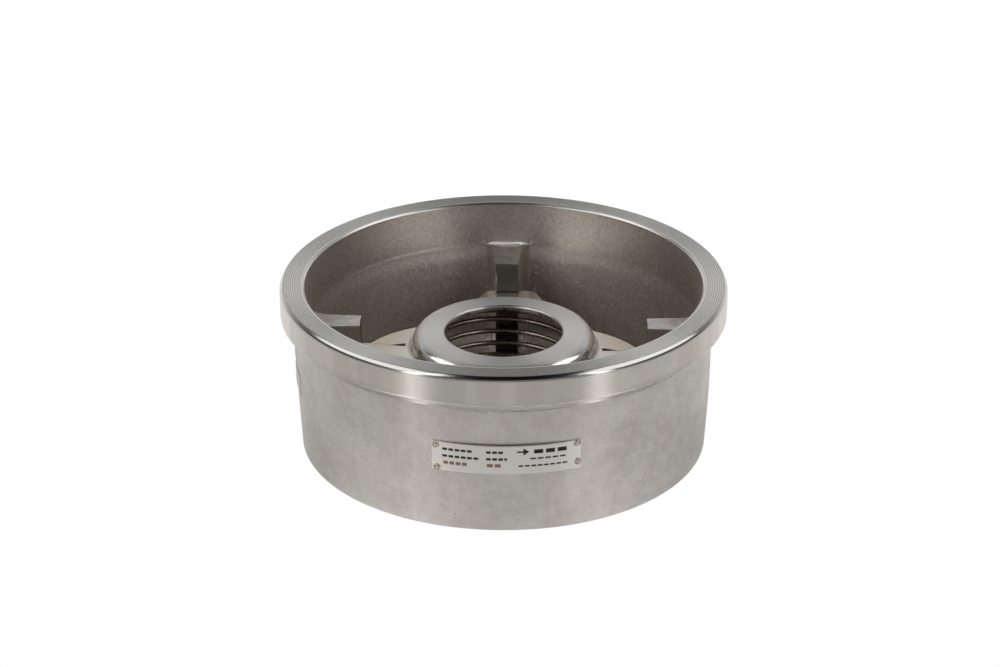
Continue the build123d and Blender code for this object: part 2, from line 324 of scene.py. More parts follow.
def rim_rows():
    """The relief, the root fillet, the rim's underside, its low edge with a faint lip, and its side."""
    rim_low = TOP_Z - RIM_DEPTH
    relief_r = barrel_radius(RELIEF_Z) - RELIEF_DEEP
    heights = np.linspace(RELIEF_Z + RELIEF_STEP, rim_low - ROOT_FILLET, 4)
    rows = [(relief_r, z, RIM) for z in heights]
    root = arc_points((relief_r + ROOT_FILLET, rim_low - ROOT_FILLET), ROOT_FILLET, 180, 90, 5)[1:]
    rows += [(r, z, RIM) for r, z in root]
    reaches = np.linspace(BARREL_TOP_R + 2 * ROOT_FILLET, RIM_R - RIM_EDGE_CLEAR, 6)
    rows += [(r, rim_low, RIM) for r in reaches]
    edge = arc_points((RIM_R - RIM_EDGE, rim_low + RIM_EDGE), RIM_EDGE, -90, 45, 6)
    # the rim's rounded low edge takes the paler tone of the milled tops: a painted highlight line
    rows += [(r, z, MILLED_AND_LIT_EDGE) for r, z in edge]
    rows.append((RIM_R - RIM_LIP, rim_low + RIM_LIP_RISE, RIM))
    side = np.linspace(rim_low + RIM_LIP_END, TOP_Z - RIM_BREAK - RIM_CORNER_RUN, 10)
    return rows + [(RIM_R, z, RIM) for z in side]


def outlet_rows():
    """The outer chamfer, the grooved gasket face and the chamfer into the mouth."""
    upper = (RIM_R - RIM_BREAK, TOP_Z)
    lower = (RIM_R, TOP_Z - RIM_BREAK)
    side = (RIM_R, lower[1] - RIM_CORNER_RUN)
    face = (upper[0] - RIM_CORNER_RUN, TOP_Z)
    rows = corner_rows(side, lower, upper, CHAMFER_SOFT_EDGE, CHAMFER)
    rows += corner_rows(lower, upper, face, CHAMFER_CRISP_EDGE, CHAMFER)
    for i in reversed(range(GROOVES)):
        r = GROOVE_R + i * GROOVE_PITCH
        rows.append((r + GROOVE_HALF, TOP_Z, GASKET_GROOVE))
        rows.append((r, TOP_Z - GROOVE_DEEP, GASKET_GROOVE))
        rows.append((r - GROOVE_HALF, TOP_Z, GASKET_FACE))
    edge = (MOUTH_R + MOUTH_BREAK, TOP_Z)
    before = (edge[0] + MOUTH_EDGE_CLEAR, TOP_Z)
    mouth = (MOUTH_R, TOP_Z - MOUTH_BREAK)
    after = (MOUTH_R, TOP_Z - 2 * MOUTH_BREAK)
    rows.append((*before, GASKET_FACE))
    rows += corner_rows(before, edge, mouth, MOUTH_EDGE_ROUND, MOUTH_EDGE)
    return rows + corner_rows(edge, mouth, after, MOUTH_EDGE_ROUND, MOUTH_EDGE)


def corner_rows(before, corner, after, reach, zone):
    """Rows that round off a turned corner, from reach before it to reach after it."""
    a, b, c = np.array(before), np.array(corner), np.array(after)
    into = (a - b) / np.linalg.norm(a - b)
    out = (c - b) / np.linalg.norm(c - b)
    rows = []
    for t in np.linspace(0, 1, 7):
        p = (1 - t) ** 2 * (b + into * reach) + 2 * t * (1 - t) * b + t**2 * (b + out * reach)
        rows.append((p[0], p[1], zone))
    return rows


def bore_radius(z):
    slope = (MOUTH_R - BORE_STEP_R) / (TOP_Z - MOUTH_BREAK - BORE_STEP_Z)
    return BORE_STEP_R + slope * (z - BORE_STEP_Z)


def bore_rows():
    """Down the turned bore to the top of the ribs' root fillets."""
    heights = np.linspace(TOP_Z - MOUTH_BREAK - BORE_CLEAR, RIB_TOP + RIB_TOP_FILLET, 16)
    return [(bore_radius(z), z, BORE) for z in heights]


def core_profile():
    """The cast wall from the step to the floor, then inwards to the ribs' feet: (radius, height)."""
    slope = (CORE_TOP_R - CORE_FLOOR_R) / (BORE_STEP_Z - FLOOR_Z)
    heights = np.linspace(BORE_STEP_Z, FLOOR_Z + CORE_CORNER, WALL_ROWS)
    wall = [(CORE_FLOOR_R + slope * (z - FLOOR_Z), z) for z in heights]
    r0, z0 = wall[-1]
    corner = [(r0 - CORE_CORNER + CORE_CORNER * cos(a), z0 - CORE_CORNER * sin(a))
              for a in np.linspace(0, pi / 2, 10)[1:]]
    reaches = np.linspace(corner[-1][0], RIB_R - FLOOR_PAST_RIB, 9)[1:]
    return wall + corner + [(r, FLOOR_Z) for r in reaches]


def wall_radius(core, z):
    radii, heights = zip(*core[:WALL_ROWS])
    return float(np.interp(z, heights[::-1], radii[::-1]))


def rib_outline():
    """Half the rib in plan, from the middle of its face along the flank to its flare at the wall."""
    face = [(RIB_R, y) for y in np.linspace(0, RIB_HALF, 7)]
    flank = [(x, RIB_HALF + (RIB_ROOT[1] - RIB_HALF) * (x - RIB_R) / (RIB_ROOT[0] - RIB_R))
             for x in np.linspace(RIB_R, RIB_ROOT[0] - RIB_FLARE_START, 13)[1:]]
    start = np.array(flank[-1])
    corner = np.array(RIB_ROOT)
    end = corner + (np.array(RIB_FLARE) - corner) * RIB_FLARE_REACH
    flare = [tuple((1 - t) ** 2 * start + 2 * t * (1 - t) * corner + t**2 * end)
             for t in np.linspace(0, 1, 8)[1:]]
    half = face + flank + flare
    return np.array([(x * cos(y / x) if x == RIB_R else x, y) for x, y in half])


def column_plan():
    """The columns round the ring: wall angle, its rib's angle, rib point or None, rib's half angle."""
    half = rib_outline()
    edge_angle = degrees(asin(half[-1][1] / (CORE_TOP_R - RIB_FLARE_INSET)))
    rib = [(x, -y) for x, y in reversed(half[1:])] + [tuple(p) for p in half]
    rib_angles = np.linspace(-edge_angle, edge_angle, len(rib))
    wall_angles = np.linspace(edge_angle, 90 - edge_angle, WALL_COLUMNS + 2)[1:-1]
    columns = []
    for quarter in range(4):
        turn = 90 * quarter
        for angle, point in zip(rib_angles, rib):
            columns.append((turn + angle, turn, point, edge_angle))
        for angle in wall_angles:
            columns.append((turn + angle, turn, None, edge_angle))
    return columns


def rib_row(columns, radius, height, least_r=0.0):
    """One row of the cavity: the wall, and the ribs standing out of it no nearer the axis than least_r."""
    points = []
    for angle, turn, rib, edge in columns:
        wall = radians(angle)
        if rib is None:
            points.append((radius * cos(wall), radius * sin(wall), height))
            continue
        x, y = rib
        r = hypot(x, y)
        if r < radius:
            grow = max(1.0, least_r / r)
            local = (x * grow, y * grow)
        else:
            share = (r - radius) / (r - RIB_R + RIB_SPREAD_SOFT)
            own = atan2(y, x)
            spread = radians(edge) * np.sign(y)
            angle_here = own + (spread - own) * share * min(1.0, abs(y) / RIB_HALF) ** 2
            local = (radius * cos(angle_here), radius * sin(angle_here))
        c, s = cos(radians(turn)), sin(radians(turn))
        points.append((local[0] * c - local[1] * s, local[0] * s + local[1] * c, height))
    return points


def rib_top_row(columns, share, height):
    """One row across the ribs' tops, from the wall (share 0) to the outline (share 1)."""
    points = []
    for angle, turn, rib, edge in columns:
        reach = bore_radius(height)
        on_wall = np.array((reach * cos(radians(angle)), reach * sin(radians(angle)), height))
        if rib is None:
            points.append(tuple(on_wall))
            continue
        c, s = cos(radians(turn)), sin(radians(turn))
        x, y = rib
        r = hypot(x, y)
        if r > reach:
            x, y = x * reach / r, y * reach / r
        target = np.array((x * c - y * s, x * s + y * c, RIB_TOP))
        flat = on_wall + (target - on_wall) * share
        up = max(0.0, hypot(flat[0], flat[1]) - (reach - RIB_TOP_FILLET))
        rise = RIB_TOP_FILLET - sqrt(max(0.0, RIB_TOP_FILLET**2 - up**2))
        flat[2] = RIB_TOP + rise * (1 - (abs(angle - turn) / edge) ** 4)
        points.append(tuple(flat))
    return points


def ring_row(columns, radius, height):
    """A plain ring, with the cavity's spacing of columns."""
    return [(radius * cos(radians(angle)), radius * sin(radians(angle)), height)
            for angle, turn, rib, edge in columns]


def rib_masks(columns):
    """Which faces round the ring lie on a rib, and which of those on its guide face."""
    ribs = [rib for angle, turn, rib, edge in columns]
    pairs = list(zip(ribs, ribs[1:] + ribs[:1]))
    on_rib = [a is not None and b is not None for a, b in pairs]
    on_face = []
    for both, (a, b) in zip(on_rib, pairs):
        level = both and max(abs(a[1]), abs(b[1])) <= RIB_HALF
        on_face.append(level and max(hypot(*a), hypot(*b)) < RIB_R + RIB_FACE_MARGIN)
    return on_rib, on_face


def seat_rows():
    """From the floor over the seat's land and down the inlet: (radius, height)."""
    return [
        (LAND_R + LAND_ROOT[0], FLOOR_Z + LAND_ROOT[1]),
        (LAND_R + LAND_TAPER, LAND_Z - LAND_EDGE + LAND_TAPER),
        (LAND_R - LAND_OUTER_EDGE, LAND_Z),
        ((LAND_R + SEAT_R) / 2, LAND_Z),
        (SEAT_R + LAND_EDGE, LAND_Z),
        (SEAT_R, LAND_Z - LAND_EDGE),
        (SEAT_R, SEAT_CONE_Z + SEAT_ROUND),
        (SEAT_R + SEAT_CONE_START, SEAT_CONE_Z - SEAT_ROUND),
        ((SEAT_R + INLET_R) / 2, SEAT_CONE_Z / 2),
        (INLET_R - INLET_EDGE[0], INLET_EDGE[1]),
    ]


def casting_rows(columns):
    """All rows of the casting, each a ring of points, and the zone of every face above them."""
    rows, zones = [], []

    def add(points, zone):
        rows.append(points)
        zones.append([zone] * len(columns) if np.isscalar(zone) else zone)

    for radius, height, zone in barrel_rows() + rim_rows() + outlet_rows() + bore_rows():
        add(ring_row(columns, radius, height), zone)
    on_rib, on_face = rib_masks(columns)
    for share in RIB_TOP_SHARES:
        z_wall = RIB_TOP + RIB_TOP_FILLET * (1 - share)
        top = RIB_TOP_ROOT if share < RIB_ROOT_SHARE else MILLED_AND_LIT_EDGE
        add(rib_top_row(columns, share, z_wall), [top if r else BORE for r in on_rib])
    flank = [RIB_FLANK if r else CAST_INSIDE for r in on_rib]
    side = [GUIDE_FACE if f else other for f, other in zip(on_face, flank)]
    add(rib_row(columns, CORE_TOP_R, RIB_TOP - RIB_TOP_EDGE), side)
    core = core_profile()
    groove = [(RETAINER_GROOVE_TOP + GROOVE_SIDE, 0), (RETAINER_GROOVE_TOP, RETAINER_GROOVE_R),
              (RETAINER_GROOVE_LOW, RETAINER_GROOVE_R), (RETAINER_GROOVE_LOW - GROOVE_SIDE, 0)]
    for radius, height in core:
        if height > RIB_TOP - RIB_SIDE_START:
            continue
        while groove and height < groove[0][0]:
            z, least = groove.pop(0)
            add(rib_row(columns, wall_radius(core, z), z, least), side)
        in_groove = RETAINER_GROOVE_LOW <= height <= RETAINER_GROOVE_TOP
        least = RETAINER_GROOVE_R if in_groove else 0
        add(rib_row(columns, radius, height, least), side if height > FLOOR_Z else CAST_INSIDE)
    for radius, height in seat_rows():
        add(ring_row(columns, radius, height), SEAT)
    return rows, zones


def casting():
    """The whole casting as one grid: a closed profile of rows, each a ring of columns."""
    columns = column_plan()
    rows, zones = casting_rows(columns)
    points = np.array(rows, float).reshape(-1, 3)
    zone = np.array(zones, float).reshape(-1)
    raised = mark_height(points) * (zone == CAST_OUTSIDE)
    points = cast_skin(points, zone)
    faces = ring_faces(len(rows), len(columns))
    piece = mesh_object("valve_body_casting", points, faces, sharp=28.0)
    store(piece, "zone", zone, "FACE")
    # strength of the painted shade along the slopes of the raised marks
    store(piece, "mark_edge_shade", 4 * raised * (1 - raised))
    return piece


def mark_height(points):
    """Raised casting marks: a flow arrow over a blank pad, as a share of their full height."""
    across = (np.degrees(np.arctan2(points[:, 1], points[:, 0])) - MARK_AZIMUTH + 180) % 360 - 180
    u = np.radians(across) * BARREL_TOP_R
    z = points[:, 2]
    pad = np.minimum(PAD_HALF[0] - np.abs(u), PAD_HALF[1] - np.abs(z - PAD_Z))
    along = np.minimum(z - ARROW_FOOT_Z, ARROW_NECK_Z + ARROW_NECK_LAP - z)
    shaft = np.minimum(ARROW_SHAFT_HALF - np.abs(u), along)
    head = np.minimum((ARROW_TIP_Z - z) * ARROW_HEAD_SLOPE - np.abs(u), z - ARROW_NECK_Z)
    inside = np.maximum(pad, np.maximum(shaft, head))
    return smoothstep(-MARK_SOFT, MARK_SOFT, inside) * (np.abs(across) < MARK_REACH)


def cast_skin(points, zone):
    """Moves the as-cast surfaces along their normals: sand grain, slow waves and the raised marks."""
    points = points.copy()
    outside = (zone == CAST_OUTSIDE) & (points[:, 2] > FOOT_FLAT_Z)
    inside = (zone == CAST_INSIDE) | (zone == RIB_FLANK)
    azimuth = np.degrees(np.arctan2(points[:, 1], points[:, 0]))
    # the step below the turned bore shows most on one side, where the core sat off centre
    start, full, fading, end = STEP_ARC
    stepped = STEP_SHARE * smoothstep(start, full, azimuth) * smoothstep(end, fading, azimuth)
    below = smoothstep(BORE_STEP_Z - STEP_START, BORE_STEP_Z - STEP_TAPER, points[:, 2])
    depth_here = np.maximum(below, stepped)
    for mask, sign, (size, depth) in ((outside, 1, GRAIN_OUTSIDE), (inside, -1, GRAIN_INSIDE)):
        chosen = points[mask]
        push = depth * fractal(chosen, size, 3, GRAIN_SEED)
        push = push + WAVE[1] * fractal(chosen, WAVE[0], 2, WAVE_SEED)
        if sign > 0:
            push = push + MARK_RISE * mark_height(chosen)
        else:
            push = push * depth_here[mask]
        stretch = 1 + sign * push / np.hypot(chosen[:, 0], chosen[:, 1])
        points[mask, 0] *= stretch
        points[mask, 1] *= stretch
    radius = np.hypot(points[:, 0], points[:, 1])
    widen = inside * (radius > CORE_FLOOR_R) * (1 - depth_here) * (BORE_STEP_R - CORE_TOP_R)
    shift = inside * depth_here
    points[:, 0] += CORE_SHIFT[0] * shift + widen * points[:, 0] / radius
    points[:, 1] += CORE_SHIFT[1] * shift + widen * points[:, 1] / radius
    return points


# ---------------------------------------------------------------- materials
class Nodes:
    """A small hand for building the node tree of a material or a world."""

    def __init__(self, owner):
        owner.use_nodes = True
        self.owner = owner
        self.tree = owner.node_tree
        self.tree.nodes.clear()
        kind = "World" if isinstance(owner, bpy.types.World) else "Material"
        self.out = self.add("ShaderNodeOutput" + kind)

    def add(self, kind, **settings):
        node = self.tree.nodes.new(kind)
        for key, value in settings.items():
            if key in node.inputs:
                self.plug(node.inputs[key], value)
            else:
                setattr(node, key, value)
        return node

    def plug(self, socket, value):
        if isinstance(value, bpy.types.NodeSocket):
            self.tree.links.new(value, socket)
        elif isinstance(value, (tuple, list)) and len(value) == 3 and socket.type == "RGBA":
            socket.default_value = (*value, 1.0)
        else:
            socket.default_value = value

    def math(self, operation, a, b=0.0):
        node = self.add("ShaderNodeMath", operation=operation)
        self.plug(node.inputs[0], a)
        self.plug(node.inputs[1], b)
        return node.outputs[0]

    def mix(self, share, a, b):
        """A colour between a and b."""
        node = self.add("ShaderNodeMix", data_type="RGBA")
        self.plug(node.inputs[0], share)
        self.plug(node.inputs[6], a)
        self.plug(node.inputs[7], b)
        return node.outputs[2]

    def tint(self, colour, where, strength, towards):
        """Moves a colour towards another, by at most the strength, where the mask is 1."""
        return self.mix(self.math("MULTIPLY", where, strength), colour, towards)

    def blend(self, share, a, b):
        """A number between a and b."""
        node = self.add("ShaderNodeMix", data_type="FLOAT")
        self.plug(node.inputs[0], share)
        self.plug(node.inputs[2], a)
        self.plug(node.inputs[3], b)
        return node.outputs[0]

    def attribute(self, name):
        return self.add("ShaderNodeAttribute", attribute_name=name).outputs["Fac"]

    def is_zone(self, *numbers):
        """1 on the faces of any of these zones of the casting."""
        zone = self.attribute("zone")
        found = 0.0
        for number in numbers:
            found = self.math("MAXIMUM", found, self.math("COMPARE", zone, number))
        return found

    def position(self):
        return self.add("ShaderNodeTexCoord").outputs["Object"]

    def noise(self, scale, detail=4.0, roughness=0.6, vector=None):
        node = self.add("ShaderNodeTexNoise", Scale=scale, Detail=detail, Roughness=roughness)
        self.plug(node.inputs["Vector"], vector or self.position())
        return node.outputs["Fac"]

    def stretch(self, vector, scale):
        node = self.add("ShaderNodeMapping")
        node.inputs["Scale"].default_value = scale
        self.plug(node.inputs["Vector"], vector)
        return node.outputs[0]

    def step(self, value, low, high):
        node = self.add("ShaderNodeMapRange", interpolation_type="SMOOTHSTEP")
        self.plug(node.inputs["Value"], value)
        node.inputs["From Min"].default_value = low
        node.inputs["From Max"].default_value = high
        return node.outputs[0]

    def dots(self, scale, size):
        """Scattered round spots, each a share of its cell in radius."""
        node = self.add("ShaderNodeTexVoronoi", Scale=scale)
        self.plug(node.inputs["Vector"], self.position())
        return self.step(node.outputs["Distance"], size, size * 0.4)

    def bump(self, height, strength, distance):
        node = self.add("ShaderNodeBump", Strength=strength, Distance=distance)
        self.plug(node.inputs["Height"], height)
        return node.outputs[0]

    def rings(self, scale):
        """Fine noise that is constant round the axis: turning marks."""
        place = self.add("ShaderNodeCombineXYZ")
        self.plug(place.inputs[0], self.math("MULTIPLY", self.radius(), scale))
        self.plug(place.inputs[1], self.math("MULTIPLY", self.height(), scale))
        return self.noise(1.0, 3.0, 0.7, vector=place.outputs[0])

    def metal(self, colour, roughness, normal, turned=0.0):
        """Bare metal; turned is how far its gloss is drawn out across marks that run round the axis."""
        node = self.add("ShaderNodeBsdfPrincipled", Metallic=1.0)
        node.inputs["Anisotropic Rotation"].default_value = 0.25
        self.plug(node.inputs["Base Color"], colour)
        self.plug(node.inputs["Roughness"], roughness)
        self.plug(node.inputs["Anisotropic"], turned)
        self.plug(node.inputs["Normal"], normal)
        tangent = self.add("ShaderNodeTangent", direction_type="RADIAL", axis="Z")
        self.plug(node.inputs["Tangent"], tangent.outputs[0])
        self.tree.links.new(node.outputs[0], self.out.inputs["Surface"])
        return self.owner

    def split(self, vector):
        node = self.add("ShaderNodeSeparateXYZ")
        self.plug(node.inputs[0], vector)
        return node.outputs

    def radius(self):
        x, y, z = self.split(self.position())
        return self.math("SQRT", self.math("ADD", self.math("POWER", x, 2.0), self.math("POWER", y, 2.0)))

    def height(self):
        return self.split(self.position())[2]


def material_nodes(name):
    return Nodes(bpy.data.materials.new(name))


def cast_colour(n):
    """Blasted casting: warm grey with blotches, grain, streaks, small pits, and painted shade along the
    slopes of the raised marks.
    """
    large = n.noise(BLOTCHES, 3.0)
    streak = n.noise(1.0, 3.0, vector=n.stretch(n.position(), (420, 420, 30)))
    pits = n.math("MAXIMUM", n.dots(250, 0.09), n.math("MULTIPLY", n.dots(520, 0.15), 0.6))
    colour = n.mix(n.step(large, 0.35, 0.65), (0.59, 0.545, 0.515), (0.68, 0.638, 0.605))
    colour = n.tint(colour, n.step(n.noise(CLOUDS, 2.0), 0.50, 0.62), 0.35, (0.46, 0.43, 0.40))
    colour = n.tint(colour, n.step(n.noise(FINE_GRAIN, 2.0), 0.42, 0.62), 0.30, (0.46, 0.44, 0.41))
    colour = n.tint(colour, n.step(n.noise(MOTTLE, 3.0), 0.42, 0.62), 0.35, (0.70, 0.675, 0.64))
    colour = n.tint(colour, n.step(streak, 0.5, 0.75), 0.10, (0.45, 0.43, 0.40))
    colour = n.tint(colour, n.step(n.noise(GRAIN, 4.0), 0.60, 0.74), 0.35, (0.34, 0.315, 0.285))
    colour = n.tint(colour, pits, n.step(large, 0.45, 0.55), (0.32, 0.295, 0.27))
    # painted shade: the slopes of the raised casting marks are darkened
    return n.tint(colour, n.attribute("mark_edge_shade"), 0.8, (0.13, 0.12, 0.105))


def cavity_colour(n):
    """Inside the chamber: browner, with paler flanks on the ribs as a painted highlight where the flanks
    catch the light.
    """
    colour = n.mix(n.step(n.noise(GRAIN, 4.0), 0.3, 0.7), (0.57, 0.515, 0.465), (0.72, 0.665, 0.61))
    # painted highlight: the ribs' flanks are made paler
    return n.tint(colour, n.is_zone(RIB_FLANK), 0.7, (0.76, 0.73, 0.69))


def tooled_colour(n):
    """Turned and milled faces: cleaner and paler metal, each face in its own tone, with painted shade in
    the gasket face's grooves and a paler low edge on the rim as a painted highlight.
    """
    large = n.noise(BLOTCHES, 3.0)
    mottle = n.noise(MOTTLE, 3.0)
    patch = n.noise(1.0, 2.0, vector=n.stretch(n.position(), (90, 90, 12)))
    rim = n.is_zone(RIM)
    colour = n.mix(n.step(large, 0.3, 0.7), (0.64, 0.62, 0.59), (0.71, 0.69, 0.66))
    rim_tone = n.mix(n.step(n.noise(CLOUDS, 2.0), 0.42, 0.58), (0.67, 0.645, 0.61), (0.70, 0.645, 0.595))
    colour = n.mix(rim, colour, rim_tone)
    colour = n.tint(colour, rim, n.math("MULTIPLY", n.step(patch, 0.46, 0.54), 0.55), (0.58, 0.54, 0.49))
    colour = n.tint(colour, rim, n.math("MULTIPLY", n.step(mottle, 0.45, 0.6), 0.3), (0.60, 0.57, 0.54))
    rib_tone = n.mix(n.step(mottle, 0.40, 0.60), (0.72, 0.70, 0.67), (0.86, 0.84, 0.81))
    # paler tone of the ribs' milled tops, also on the rim's low edge as a painted highlight
    colour = n.mix(n.is_zone(MILLED_AND_LIT_EDGE), colour, rib_tone)
    colour = n.mix(n.is_zone(CHAMFER), colour, (0.50, 0.49, 0.47))
    # painted shade: the gasket face's grooves are darker than the lands between them
    face_tone = n.mix(n.is_zone(GASKET_GROOVE), (0.80, 0.79, 0.76), (0.55, 0.545, 0.52))
    return n.mix(n.is_zone(GASKET_FACE, GASKET_GROOVE), colour, face_tone)


def casting_roughness(n):
    """The as-cast roughness, then each machined face's own."""
    rough = n.blend(n.is_zone(CAST_INSIDE, RIB_FLANK), n.blend(n.noise(GRAIN, 4.0), 0.40, 0.50), 0.48)
    rough = n.blend(n.is_zone(RIB_FLANK), rough, 0.34)
    rough = n.blend(n.is_zone(RIM), rough, n.blend(n.noise(BLOTCHES, 3.0), 0.28, 0.36))
    for zones, value in (
        ((GASKET_FACE, GASKET_GROOVE), 0.42),
        ((BORE,), 0.43),
        ((CHAMFER,), 0.17),
        ((MOUTH_EDGE,), 0.30),
        ((GUIDE_FACE, SEAT), 0.22),
        ((MILLED_AND_LIT_EDGE,), 0.34),
        ((RIB_TOP_ROOT,), 0.38),
    ):
        rough = n.blend(n.is_zone(*zones), rough, value)
    return rough


def casting_relief(n, tooled):
    """Fine height: sand grain and pimples on cast skin, turning marks on tooled faces, a rough root."""
    inside, face = n.is_zone(CAST_INSIDE, RIB_FLANK), n.is_zone(GASKET_FACE, GASKET_GROOVE)
    pimples = n.math("MULTIPLY", n.dots(560, 0.25), n.step(n.noise(330, 1.0), 0.46, 0.60))
    cast = n.math("ADD", n.noise(GRAIN, 4.0), n.math("MULTIPLY", n.noise(FINE_GRAIN, 2.0), 0.5))
    cast = n.math("ADD", cast, n.math("MULTIPLY", pimples, n.blend(inside, 0.25, 1.8)))
    lumps = n.math("MULTIPLY", n.noise(1000, 2.0), 12.0)
    cast = n.math("ADD", cast, n.math("MULTIPLY", n.is_zone(RIB_TOP_ROOT), lumps))
    relief = n.blend(tooled, cast, n.math("MULTIPLY", n.rings(9000.0), 0.12))
    rings = n.math("MULTIPLY", n.rings(1500.0), 0.4)
    relief = n.math("ADD", relief, n.math("MULTIPLY", face, rings))
    return n.math("MULTIPLY", relief, n.math("SUBTRACT", 1.0, n.is_zone(CHAMFER)))


def casting_gloss(n):
    """How far the gloss is drawn out by the turning marks of each zone."""
    drawn = 0.0
    for zones, share in (
        ((RIM,), 0.85),
        ((GASKET_FACE, GASKET_GROOVE), 0.65),
        ((BORE,), 0.45),
        ((CAST_INSIDE, RIB_FLANK), 0.2),
    ):
        drawn = n.math("ADD", drawn, n.math("MULTIPLY", n.is_zone(*zones), share))
    return drawn


def casting_material():
    n = material_nodes("cast_stainless")
    cavity = n.is_zone(CAST_INSIDE, RIB_FLANK, BORE)
    turned = (GASKET_FACE, GASKET_GROOVE, RIM, CHAMFER, MOUTH_EDGE)
    tooled = n.is_zone(*turned, GUIDE_FACE, SEAT, MILLED_AND_LIT_EDGE)
    low = n.step(n.height(), 0.021, 0.017)
    colour = n.mix(cavity, cast_colour(n), cavity_colour(n))
    colour = n.mix(tooled, colour, tooled_colour(n))
    # painted highlight: the ribs' root fillets are near-white
    colour = n.mix(n.is_zone(RIB_TOP_ROOT), colour, (0.97, 0.95, 0.92))
    # painted shade: the guide faces below the retainer, and the seat, are darkened
    guide_tone_and_shade = n.mix(low, (0.41, 0.375, 0.325), (0.12, 0.10, 0.08))
    colour = n.mix(n.is_zone(GUIDE_FACE, SEAT), colour, guide_tone_and_shade)
    relief = n.bump(casting_relief(n, tooled), 0.5, 0.00012)
    return n.metal(colour, casting_roughness(n), relief, casting_gloss(n))


def retainer_material():
    """Pressed sheet: the dome's crown is brushed round, the arms are smooth with a faint heat tint."""
    n = material_nodes("pressed_stainless")
    large = n.noise(70, 3.0)
    fine = n.noise(1400, 3.0)
    crown = n.step(n.height(), 0.0392, 0.0398)
    arms = n.step(n.height(), 0.0345, 0.0330)
    colour = n.mix(large, (0.78, 0.77, 0.745), (0.86, 0.85, 0.825))
    colour = n.mix(arms, colour, (0.84, 0.80, 0.73))
    rough = n.blend(crown, n.blend(fine, 0.12, 0.18), n.blend(fine, 0.36, 0.42))
    rough = n.blend(arms, rough, 0.24)
    normal = n.bump(n.math("ADD", fine, n.math("MULTIPLY", large, 2.0)), 0.4, 0.00005)
    return n.metal(colour, rough, normal, n.math("MULTIPLY", crown, 0.8))


def disc_material():
    """Turned and lapped plate: rings round the axis, in a darkened colour as painted shade for the disc
    deep in the chamber.
    """
    n = material_nodes("machined_stainless")
    rings = n.rings(6000.0)
    large = n.noise(60, 3.0)
    # painted shade: darker than the other machined parts
    colour = n.mix(large, (0.38, 0.365, 0.34), (0.48, 0.465, 0.44))
    rough = n.blend(rings, 0.16, 0.30)
    return n.metal(colour, rough, n.bump(rings, 0.3, 0.00006), 0.7)


def wire_material():
    """Drawn wire with a brown heat tint."""
    n = material_nodes("spring_wire")
    fine = n.noise(1800, 3.0)
    large = n.noise(120, 3.0)
    colour = n.mix(large, (0.24, 0.195, 0.155), (0.42, 0.35, 0.29))
    normal = n.bump(fine, 0.2, 0.00004)
    return n.metal(colour, n.blend(fine, 0.22, 0.32), normal)


def plate_material():
    """Pale sheet, brushed lengthwise, with filled marks and stains round the rivets."""
    n = material_nodes("plate_stainless")
    fine = n.noise(1.0, 2.0, vector=n.stretch(n.position(), (300, 300, 9000)))
    large = n.noise(90, 3.0)
    ink = n.attribute("ink")
    stain = n.attribute("stain")
    colour = n.mix(large, (0.73, 0.69, 0.65), (0.80, 0.765, 0.725))
    colour = n.tint(colour, stain, 0.85, (0.22, 0.15, 0.09))
    colour = n.mix(ink, colour, (0.035, 0.032, 0.03))
    colour = n.mix(n.attribute("stamp"), colour, (0.27, 0.18, 0.11))
    rough = n.blend(fine, 0.34, 0.46)
    return n.metal(colour, rough, n.bump(fine, 0.2, 0.00003))


def rivet_material():
    """Bright steel with spots of rust."""
    n = material_nodes("rivet_steel")
    fine = n.noise(2500, 3.0)
    colour = n.mix(n.step(fine, 0.35, 0.55), (0.34, 0.26, 0.18), (0.72, 0.68, 0.62))
    return n.metal(colour, n.blend(fine, 0.3, 0.5), n.bump(fine, 0.3, 0.00004))


# ---------------------------------------------------------------- the spring
def spring_height(turns, low, high):
    """Height of the wire's middle after some turns: closed ends and an open middle."""
    closed_rise = CLOSED_TURNS * (2 * WIRE_R + CLOSED_GAP)
    open_rise = high - low - 2 * closed_rise
    if turns < CLOSED_TURNS:
        return low + closed_rise * turns / CLOSED_TURNS
    if turns > CLOSED_TURNS + OPEN_TURNS:
        return high - closed_rise * (2 * CLOSED_TURNS + OPEN_TURNS - turns) / CLOSED_TURNS
    return low + closed_rise + open_rise * (turns - CLOSED_TURNS) / OPEN_TURNS


def coil():
    """The wire swept along its helix, with flat ends."""
    low = SPRING_LOW + WIRE_R
    high = SPRING_HIGH - WIRE_R
    total = 2 * CLOSED_TURNS + OPEN_TURNS
    steps = round(total * STEPS_PER_TURN)
    around = WIRE_SIDES
    points, faces = [], []
    for i in range(steps + 1):
        turns = total * i / steps
        a = radians(SPRING_START) + 2 * pi * turns
        centre = np.array((SPRING_R * cos(a), SPRING_R * sin(a), spring_height(turns, low, high)))
        outward = np.array((cos(a), sin(a), 0.0))
        for k in range(around):
            b = 2 * pi * k / around
            points.append(centre + WIRE_R * (cos(b) * outward + sin(b) * np.array((0, 0, 1.0))))
    for i in range(steps):
        for k in range(around):
            m = (k + 1) % around
            faces.append((i * around + k, i * around + m, (i + 1) * around + m, (i + 1) * around + k))
    faces.append(tuple(range(around - 1, -1, -1)))
    faces.append(tuple(steps * around + k for k in range(around)))
    return mesh_object("closing_spring", points, faces)


# ---------------------------------------------------------------- the nameplate
def soft_ink(inside):
    """Ink from the distance inside a mark's outline: 1 within it, with soft edges."""
    return smoothstep(-INK_SOFT, INK_SOFT, inside)


def box_ink(u, z, left, right, low, high):
    """A filled rectangle of the plate."""
    return soft_ink(np.minimum(np.minimum(u - left, right - u), np.minimum(z - low, high - z)))


